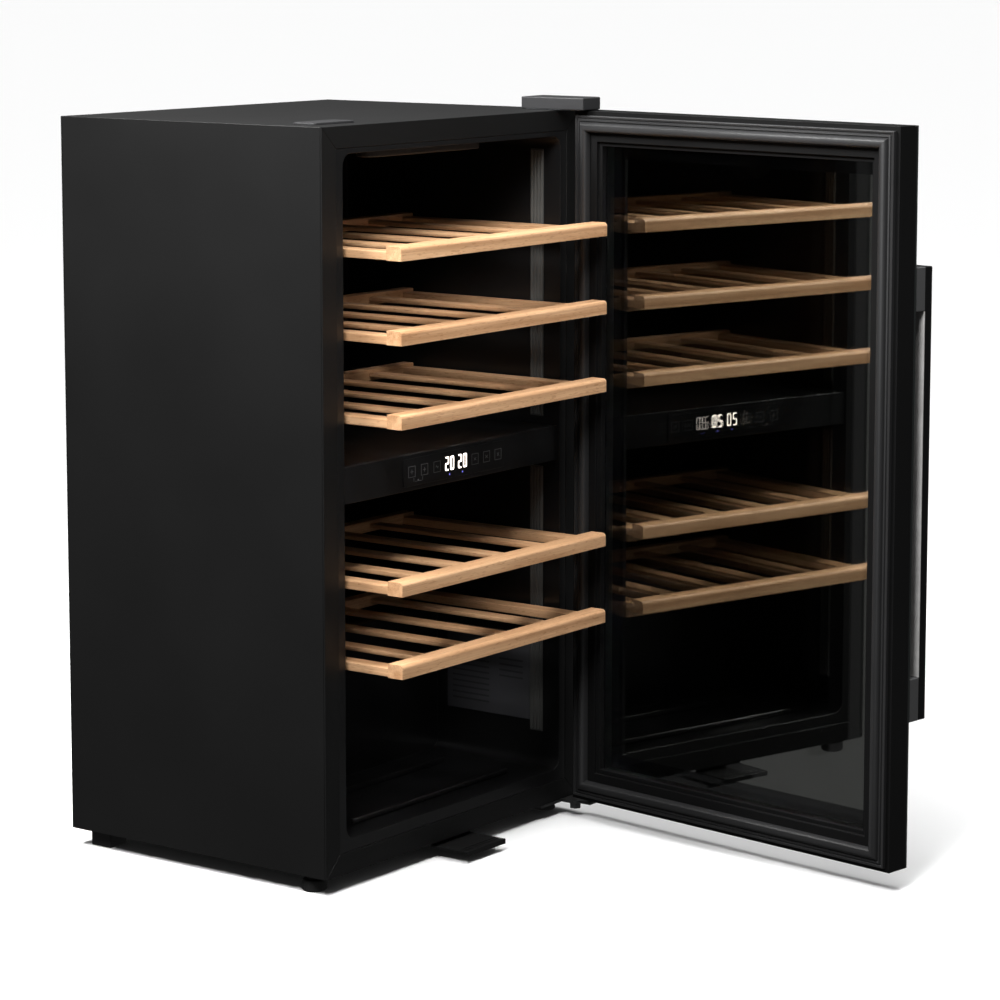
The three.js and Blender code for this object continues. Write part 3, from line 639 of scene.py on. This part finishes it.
def pipe(name, points, radius, finishes, stands_for=()):
    """A round tube along a line of points, on the cabinet."""
    data = bpy.data.curves.new(name, "CURVE")
    data.dimensions = "3D"
    data.bevel_depth = radius
    data.bevel_resolution = 3
    data.use_fill_caps = True
    line = data.splines.new("POLY")
    line.points.add(len(points) - 1)
    for point, place in zip(line.points, points):
        point.co = (*place, 1)
    for one in finishes:
        data.materials.append(one)
    made = bpy.data.objects.new(name, data)
    bpy.context.scene.collection.objects.link(made)
    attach(made, "cabinet")
    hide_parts(*stands_for)


def bent(points, radius=0.012, steps=6):
    """Round the corners of a line of points."""
    points = [Vector(p) for p in points]
    line = [points[0]]
    for before, corner, after in zip(points, points[1:], points[2:]):
        start = corner + (before - corner).normalized() * radius
        end = corner + (after - corner).normalized() * radius
        for k in range(steps + 1):
            t = k / steps
            line.append(start * (1 - t) ** 2 + corner * 2 * t * (1 - t) + end * t * t)
    return line + [points[-1]]


# The copper tubes' corners are measured from the compressor's middle, with heights from the base.
TUBE_TOP = BAY_TOP - 0.001
TUBES = {
    "suction_tube": (0.0032, (
        (0.045, 0.02, 0.11), (0.105, 0.02, 0.11), (0.105, 0.02, 0.175), (0.105, -0.05, 0.175),
        (0.105, -0.05, TUBE_TOP),
    )),
    "discharge_tube": (0.0025, (
        (0.045, -0.02, 0.07), (0.12, -0.02, 0.07), (0.12, 0.06, 0.07), (0.12, 0.06, TUBE_TOP),
    )),
    "process_stub": (0.0025, ((-0.03, 0.035, 0.06), (-0.045, 0.066, 0.06), (-0.045, 0.066, 0.1))),
}
for name, (radius, corners) in TUBES.items():
    route = bent([(COMP_X + x, COMP_Y + y, z) for x, y, z in corners])
    pipe(name, route, radius, [copper])

# Compressor plate and drip tray: a galvanised cross plate screwed to the base pan carries the compressor.
# Beside it a moulded tray catches the meltwater, which the warm bay dries.
piece("compressor_cross_plate", softened("compressor_plate", 0.0006), "cabinet", [galvanised],
      ["compressor_plate"])
piece("meltwater_tray", softened("drip_tray", 0.0007), "cabinet", [trim_grey], ["drip_tray"])

# Condenser: one steel tube bent to and fro, with upright wires welded across it, all painted black.
# Four plastic clips hold it off the back sheet.
condenser_black = finish(
    "condenser_black", (0.016, 0.016, 0.017), (0.012, 0.012, 0.012), 0.45, grain=700, broad=20,
)
TUBE = 0.0024
ROWS = 12
BEND_STEPS = 8
COIL_Y = 0.197
COIL_HALF = 0.19
ROW_EDGE = 0.012
coil_low, coil_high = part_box("condenser")
row_low, row_high = coil_low.z + ROW_EDGE, coil_high.z - ROW_EDGE
bend = (row_high - row_low) / (ROWS - 1) / 2
turn_x = COIL_HALF - bend - TUBE
path = []
for row in range(ROWS):
    z = row_low + row * 2 * bend
    sign = 1 if row % 2 == 0 else -1
    path.append((-sign * turn_x, COIL_Y, z))
    path.append((sign * turn_x, COIL_Y, z))
    if row < ROWS - 1:
        for k in range(1, BEND_STEPS):
            a = math.pi * (k / BEND_STEPS - 0.5)
            path.append((sign * (turn_x + math.cos(a) * bend), COIL_Y, z + bend * (1 + math.sin(a))))
pipe("condenser_tube", path, TUBE, [condenser_black], ["condenser"])

WIRES = 26
WIRE = 0.0007
WIRE_EDGE = 0.006
WIRE_AWAY = TUBE + 0.0006
tall = coil_high.z - coil_low.z
wires = bmesh.new()
for k in range(WIRES):
    x = (turn_x - WIRE_EDGE) * (2 * k / (WIRES - 1) - 1)
    for y in (COIL_Y - WIRE_AWAY, COIL_Y + WIRE_AWAY):
        turned(wires, ((0, 0), (WIRE, 0), (WIRE, tall), (0, tall)), (x, y, coil_low.z), (0, 0, 1), 6)
piece("condenser_wires", wires, "cabinet", [condenser_black])

CLIP_X = 0.165
CLIP_WIDE = 0.016
CLIP_TALL = 0.008
clips = bmesh.new()
for x in (-CLIP_X, CLIP_X):
    for z in (row_low + 0.022, row_high - 0.024):
        block(clips, (x - CLIP_WIDE / 2, back_high.y + 0.0002, z - CLIP_TALL / 2),
              (x + CLIP_WIDE / 2, COIL_Y + 0.002, z + CLIP_TALL / 2), 0.001)
piece("condenser_clips", clips, "cabinet", [trim_grey])

# Power inlet: a moulded socket screwed to the back sheet.
# Three flat plated pins stand in its recess.
piece("power_socket", softened("power_inlet", 0.0012, 3), "cabinet", [trim_grey],
      ["power_inlet"])
PIN_WIDE = 0.002
PIN_TALL = 0.004
inlet_low, inlet_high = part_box("power_inlet")
inlet_mid = (inlet_low + inlet_high) / 2
pins = bmesh.new()
for x, z in ((-0.007, -0.002), (0, 0.003), (0.007, -0.002)):
    pin_x, pin_z = inlet_mid.x + x, inlet_mid.z + z
    block(pins, (pin_x - PIN_WIDE / 2, inlet_low.y + 0.0035, pin_z - PIN_TALL / 2),
          (pin_x + PIN_WIDE / 2, inlet_high.y - 0.001, pin_z + PIN_TALL / 2), 0.0004)
piece("power_pins", pins, "cabinet", [aluminium])

# Top hinge: a zinc-plated plate with the door's upper pin, screwed down under a black moulded cover.
# The left corner has a small cap over the holes for hanging the door on that side.
cap_black = finish("cap_black", (0.02, 0.02, 0.021), (0.016, 0.016, 0.017), 0.4, grain=700, gloss=0.45)
piece("hinge_plate_top", softened("top_hinge_plate", 0.0005), "cabinet", [zinc_plate],
      ["top_hinge_plate"])
piece("hinge_cover_top", softened("top_hinge_cover", 0.0011, 3), "cabinet", [cap_black],
      ["top_hinge_cover"])
hole_low, hole_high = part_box("hinge_hole_cap")
hole_mid = (hole_low.z + hole_high.z) / 2
hole_cap = bmesh.new()
block(hole_cap, hole_low, hole_high)
corners = [e for e in hole_cap.edges if abs(e.verts[0].co.z - e.verts[1].co.z) > hole_mid - hole_low.z]
round_edges(hole_cap, corners, 0.006, 4)
brim = [e for e in sharp_edges(hole_cap) if min(v.co.z for v in e.verts) > hole_mid]
round_edges(hole_cap, brim, 0.0009)
piece("hinge_holes_cap", hole_cap, "cabinet", [cap_black], ["hinge_hole_cap"])

# Bottom hinge: a thick steel bracket under the front corner, plated dark.
# It carries the lower pin and one hexagon bolt.
bracket_zinc = finish(
    "bracket_zinc", (0.09, 0.09, 0.088), (0.06, 0.06, 0.06), 0.34, metal=0.8, grain=400, broad=70,
)
piece("hinge_bracket_bottom", softened("bottom_hinge_bracket", 0.0007), "cabinet", [bracket_zinc],
      ["bottom_hinge_bracket"])

# Feet: knurled levelling feet on threads at the front, plain pads at the back.
# A pressed steel support reaches forward under the middle of the door opening.
foot_black = finish(
    "foot_black", (0.012, 0.012, 0.012), (0.009, 0.009, 0.009), 0.55, grain=600, depth=0.00005,
)
KNURLS = 56
KNURL_DEPTH = 0.95
KNURL_TOP = 0.0125
THREAD = 0.0078
for side in ("left", "right"):
    low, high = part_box(f"levelling_foot_{side}")
    mid = (low + high) / 2
    radius = (high.x - low.x) / 2
    stem_top = high.z - low.z - 0.0002
    profile = (
        (0, 0), (radius - 0.002, 0), (radius, 0.002), (radius, 0.011), (radius - 0.0015, 0.0128),
        (THREAD, 0.0132), (THREAD, stem_top), (0, stem_top),
    )
    foot = bmesh.new()
    rim = turned(foot, profile, (mid.x, mid.y, low.z), (0, 0, 1), KNURLS)
    for v in rim:
        angle = math.atan2(v.co.y - mid.y, v.co.x - mid.x)
        if v.co.z < low.z + KNURL_TOP and round(angle / (2 * math.pi / KNURLS)) % 2:
            v.co.xy = mid.xy + (v.co.xy - mid.xy) * KNURL_DEPTH
    piece(f"foot_{side}_knob", foot, f"foot_{side}", [foot_black], [f"levelling_foot_{side}"])
    piece(f"rear_pad_{side}", softened(f"rear_foot_{side}", 0.0018, 3), "cabinet", [foot_black],
          [f"rear_foot_{side}"])

BEAD_IN = 0.004
BEAD_WIDE = 0.0016
support = softened("front_support_foot", 0.0006)
support_low, support_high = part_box("front_support_foot")
for back in (0.006, 0.011):
    y = support_low.y + back
    block(support, (support_low.x + BEAD_IN, y, support_low.z + 0.0062),
          (support_high.x - BEAD_IN, y + BEAD_WIDE, support_low.z + 0.0072), 0.0004)
piece("support_foot_front", support, "cabinet", [powder_black], ["front_support_foot"])


# Shelves: each has a solid beech front rail with a rounded upper edge, glued to a slatted beech deck.
# Two side rails and a taller rear rail carry four thin slats that run from front to back.
def beech(name, along):
    """Planed beech with long streaks, fine fibres and short ray flecks along one axis."""
    material = bpy.data.materials.new(name)
    material.use_nodes = True
    nodes, links = material.node_tree.nodes, material.node_tree.links
    skin = nodes["Principled BSDF"]
    skin.inputs["Specular IOR Level"].default_value = 0.35
    place = nodes.new("ShaderNodeTexCoord")
    board = nodes.new("ShaderNodeAttribute")
    board.attribute_name = "board"
    shift = nodes.new("ShaderNodeVectorMath")
    shift.operation = "ADD"
    links.new(place.outputs["Object"], shift.inputs[0])
    links.new(board.outputs["Vector"], shift.inputs[1])

    def streaks(stretch, across, detail):
        turn = nodes.new("ShaderNodeMapping")
        scale = [across] * 3
        scale[along] = stretch
        turn.inputs["Scale"].default_value = scale
        noise = nodes.new("ShaderNodeTexNoise")
        noise.inputs["Scale"].default_value = 1
        noise.inputs["Detail"].default_value = detail
        noise.inputs["Distortion"].default_value = 0.4
        links.new(shift.outputs["Vector"], turn.inputs["Vector"])
        links.new(turn.outputs["Vector"], noise.inputs["Vector"])
        return noise.outputs["Fac"]

    def ramp(value, low, high, dark, light):
        tone = nodes.new("ShaderNodeValToRGB")
        tone.color_ramp.elements[0].position = low
        tone.color_ramp.elements[0].color = (*dark, 1)
        tone.color_ramp.elements[1].position = high
        tone.color_ramp.elements[1].color = (*light, 1)
        links.new(value, tone.inputs["Fac"])
        return tone.outputs["Color"]

    def darken(first, second):
        mix = nodes.new("ShaderNodeMix")
        mix.data_type = "RGBA"
        mix.blend_type = "MULTIPLY"
        mix.inputs["Factor"].default_value = 1
        links.new(first, mix.inputs["A"])
        links.new(second, mix.inputs["B"])
        return mix.outputs["Result"]

    rings = streaks(3, 110, 3)
    fibres = streaks(14, 900, 2)
    flecks = streaks(120, 800, 0)
    colour = ramp(rings, 0.32, 0.68, (0.47, 0.255, 0.125), (0.68, 0.42, 0.235))
    colour = darken(colour, ramp(fibres, 0.3, 0.7, (0.82, 0.78, 0.74), (1, 1, 1)))
    colour = darken(colour, ramp(flecks, 0.26, 0.34, (0.8, 0.74, 0.68), (1, 1, 1)))
    links.new(colour, skin.inputs["Base Color"])
    sheen = nodes.new("ShaderNodeMapRange")
    sheen.inputs["To Min"].default_value = 0.42
    sheen.inputs["To Max"].default_value = 0.6
    links.new(fibres, sheen.inputs["Value"])
    links.new(sheen.outputs["Result"], skin.inputs["Roughness"])
    bump = nodes.new("ShaderNodeBump")
    bump.inputs["Strength"].default_value = 0.5
    bump.inputs["Distance"].default_value = 0.00008
    links.new(fibres, bump.inputs["Height"])
    links.new(bump.outputs["Normal"], skin.inputs["Normal"])
    return material


beech_across = beech("beech_across", 0)
beech_deep = beech("beech_deep", 1)
DECK_HIGH = 0.0095
REAR_DEEP = 0.016
SIDE_WIDE = 0.022
SLAT_WIDE = 0.021
SLAT_THICK = 0.005
SLATS = 4
SLAT_EDGE = 0.0435
CROSS_DEEP = 0.008
TONGUE = 0.003
NOSE = 0.0042
TOUCHING = 0.00001


def board_of(shape, low, high, edge, number, finish_index=0):
    """Add one planed board, marked with its own number so that its grain is its own."""
    kept = set(shape.faces)
    layer = shape.verts.layers.float_vector.get("board") or shape.verts.layers.float_vector.new("board")
    for v in block(shape, low, high, edge):
        v[layer] = (number * 0.37, number * 0.61, number * 0.23)
    for f in shape.faces:
        if f not in kept:
            f.material_index = finish_index


for n in range(1, 6):
    rail_low, rail_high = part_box(f"shelf_{n}_front_rail")
    front = rail_low.y + TOUCHING
    top = rail_high.z - TOUCHING
    rail = bmesh.new()
    board_of(rail, rail_low, rail_high, 0, n * 9)
    nose = [e for e in rail.edges if all(v.co.z > top and v.co.y < front for v in e.verts)]
    round_edges(rail, nose, NOSE, 5)
    ends = [e for e in sharp_edges(rail, 60) if all(v.co.y < front for v in e.verts)
            and abs(e.verts[0].co.x - e.verts[1].co.x) < TOUCHING]
    round_edges(rail, ends, 0.003, 4)
    round_edges(rail, sharp_edges(rail, 50), 0.0009, 2)
    piece(f"shelf_{n}_rail", rail, f"shelf_{n}", [beech_across], [f"shelf_{n}_front_rail"])

    low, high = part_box(f"shelf_{n}_deck")
    top = low.z + DECK_HIGH
    rear = high.y - REAR_DEEP
    deck = bmesh.new()
    board_of(deck, low, (low.x + SIDE_WIDE, rear, top), 0.0012, n * 9 + 1)
    board_of(deck, (high.x - SIDE_WIDE, low.y, low.z), (high.x, rear, top), 0.0012, n * 9 + 2)
    board_of(deck, (low.x, rear, low.z), high, 0.0012, n * 9 + 3, 1)
    board_of(deck, (low.x + SIDE_WIDE, low.y, low.z),
             (high.x - SIDE_WIDE, low.y + CROSS_DEEP, top - SLAT_THICK), 0.0006, n * 9 + 4, 1)
    first = low.x + SIDE_WIDE + SLAT_EDGE
    pitch = (high.x - low.x - 2 * (SIDE_WIDE + SLAT_EDGE) - SLAT_WIDE) / (SLATS - 1)
    for k in range(SLATS):
        x = first + k * pitch
        board_of(deck, (x, low.y, top - SLAT_THICK), (x + SLAT_WIDE, rear + TONGUE, top), 0.0016,
                 n * 9 + 5 + k)
    piece(f"shelf_{n}_slats", deck, f"shelf_{n}", [beech_deep, beech_across], [f"shelf_{n}_deck"])

# Door: a moulded black frame behind a full-size pane of black edged glass.
# Everything on it is made shut, square to the cabinet, and then turned open about the hinge line.
hinge = next(j for j in frame["record"]["behaviour"]["joints"] if j["name"] == "door_hinge")
hinge_line = Matrix.Translation(hinge["pos_m"])
OPEN = math.radians(-hinge["range_deg"][0])
swing = hinge_line @ Matrix.Rotation(OPEN, 4, "Z") @ hinge_line.inverted()


def shut_box(node):
    """The corners of a door node with the door shut."""
    back = swing.inverted()
    points = [back @ v.co for v in frame["nodes"][node].data.vertices]
    columns = list(zip(*points))
    return Vector([min(c) for c in columns]), Vector([max(c) for c in columns])


def door_piece(name, shape, finishes, stands_for=()):
    """A piece made with the door shut and turned open with it."""
    bmesh.ops.transform(shape, matrix=swing, verts=shape.verts)
    return piece(name, shape, "door", finishes, stands_for)


door_black = finish(
    "door_black", (0.0045, 0.0045, 0.0046), (0.0035, 0.0035, 0.0036), 0.42, grain=700, gloss=0.16,
)
piece("door_frame_moulding", softened("door_frame", 0.0009, 3), "door", [door_black],
      ["door_frame"])

# Outer pane: toughened glass with ground edges, black outside, with a silvered heat-mirror coat inside.
# A fired black border hides the bond to the frame.
glass_black = finish(
    "glass_black", (0.004, 0.004, 0.0045), (0.003, 0.003, 0.0035), 0.06, grain=300, depth=0, spread=0.02,
)
glass_edge = finish("glass_edge", (0.012, 0.015, 0.014), (0.009, 0.012, 0.011), 0.3, grain=300, depth=0)
heat_mirror = finish(
    "heat_mirror", (0.41, 0.403, 0.39), (0.38, 0.373, 0.36), 0.018, metal=1.0, depth=0, broad=9, spread=0.008,
)
FRIT = 0.055
low, high = shut_box("outer_glass")
outer_pane = bmesh.new()
block(outer_pane, low, high, 0.0006, 1)
outer_pane.normal_update()
for f in outer_pane.faces:
    if abs(f.normal.y) < 0.3:
        f.material_index = 2
coated = [f for f in outer_pane.faces if f.normal.y > 0.9]
bmesh.ops.inset_region(outer_pane, faces=coated, thickness=FRIT, use_even_offset=True, use_boundary=True)
for f in coated:
    f.material_index = 1
door_piece("outer_pane", outer_pane, [glass_black, heat_mirror, glass_edge], ["outer_glass"])

# Spacer and inner pane: a bar of dark anodised aluminium runs round between the two panes.
# It is bonded to both and seals the clear inner pane to the outer one.
spacer_black = finish(
    "spacer_black", (0.03, 0.03, 0.031), (0.02, 0.02, 0.021), 0.4, metal=0.6, grain=300, broad=40,
)
piece("pane_spacer", softened("glass_spacer", 0.0004), "door", [spacer_black],
      ["glass_spacer"])
clear_glass = finish(
    "clear_glass", (0.93, 0.95, 0.94), (0.9, 0.925, 0.91), 0.004, depth=0, broad=7, spread=0.004,
)
clear_skin = clear_glass.node_tree.nodes["Principled BSDF"]
clear_skin.inputs["Transmission Weight"].default_value = 1
clear_skin.inputs["IOR"].default_value = 1.45
low, high = shut_box("inner_glass")
inner_pane = bmesh.new()
block(inner_pane, low, high, 0.0005, 1)
door_piece("inner_pane", inner_pane, [clear_glass], ["inner_glass"])


# Gasket: one mitred ring of soft extruded rubber with a magnet strip inside, pressed into the door frame.
# From outside to inside it has a thin lip, a fine ridge, a groove and a round bulb.
def moulding(shape, low, high, steps):
    """Add a mitred ring that faces +Y: each step goes inwards by a width and outwards by a height."""
    size = Matrix.Diagonal((high[0] - low[0], 1, high[2] - low[2], 1))
    middle = Matrix.Translation(((low[0] + high[0]) / 2, low[1], (low[2] + high[2]) / 2))
    face_up = Matrix.Rotation(math.radians(-90), 4, "X")
    bmesh.ops.create_grid(shape, x_segments=1, y_segments=1, size=0.5, matrix=middle @ size @ face_up)
    centre = shape.faces[:]
    for width, height in steps:
        bmesh.ops.inset_region(
            shape, faces=centre, thickness=width, depth=height, use_even_offset=True, use_boundary=True,
        )
    bmesh.ops.delete(shape, geom=centre, context="FACES_ONLY")
    rim = [e for e in shape.edges if len(e.link_faces) == 1]
    bmesh.ops.bridge_loops(shape, edges=rim)
    bmesh.ops.recalc_face_normals(shape, faces=shape.faces)


gasket_rubber = finish(
    "gasket_rubber", (0.014, 0.014, 0.0145), (0.011, 0.011, 0.0115), 0.45, grain=600, depth=0.00005,
)
LIP = ((0.0002, 0.0042), (0.0008, 0.0006), (0.0016, -0.0004))
RIDGE = ((0.0006, -0.0012), (0.0012, 0.0), (0.0006, 0.0014), (0.0014, 0.0004))
GROOVE = ((0.0006, -0.0014), (0.0012, 0.0))
BULB = (
    (0.0006, 0.0022), (0.0014, 0.0016), (0.0018, 0.0012), (0.0022, 0.0004), (0.0022, -0.0006),
    (0.0018, -0.0014), (0.0012, -0.0022), (0.0004, -0.0046),
)
low, high = shut_box("door_gasket")
gasket = bmesh.new()
moulding(gasket, low, high, LIP + RIDGE + GROOVE + BULB)
door_piece("gasket_ring", gasket, [gasket_rubber], ["door_gasket"])

# Handle: a flat black bar on two square posts, screwed through the outer pane.
# A brushed silver strip is let into the bar's back between the posts.
handle_black = finish(
    "handle_black", (0.0045, 0.0045, 0.0047), (0.0035, 0.0035, 0.0037), 0.42, grain=900, gloss=0.16,
)
post_grey = finish("post_grey", (0.075, 0.075, 0.076), (0.062, 0.062, 0.063), 0.42, grain=900, gloss=0.4)
silver_brushed = finish(
    "silver_brushed", (0.6, 0.59, 0.58), (0.5, 0.49, 0.48), 0.34, metal=0.35, grain=900, broad=60,
)
piece("handle_grip", softened("handle_bar", 0.0014, 3), "door", [handle_black],
      ["handle_bar"])
for end in ("upper", "lower"):
    piece(f"handle_stand_{end}", softened(f"handle_post_{end}", 0.001, 3), "door", [post_grey],
          [f"handle_post_{end}"])
piece("handle_strip", softened("handle_inlay", 0.0003), "door", [silver_brushed],
      ["handle_inlay"])
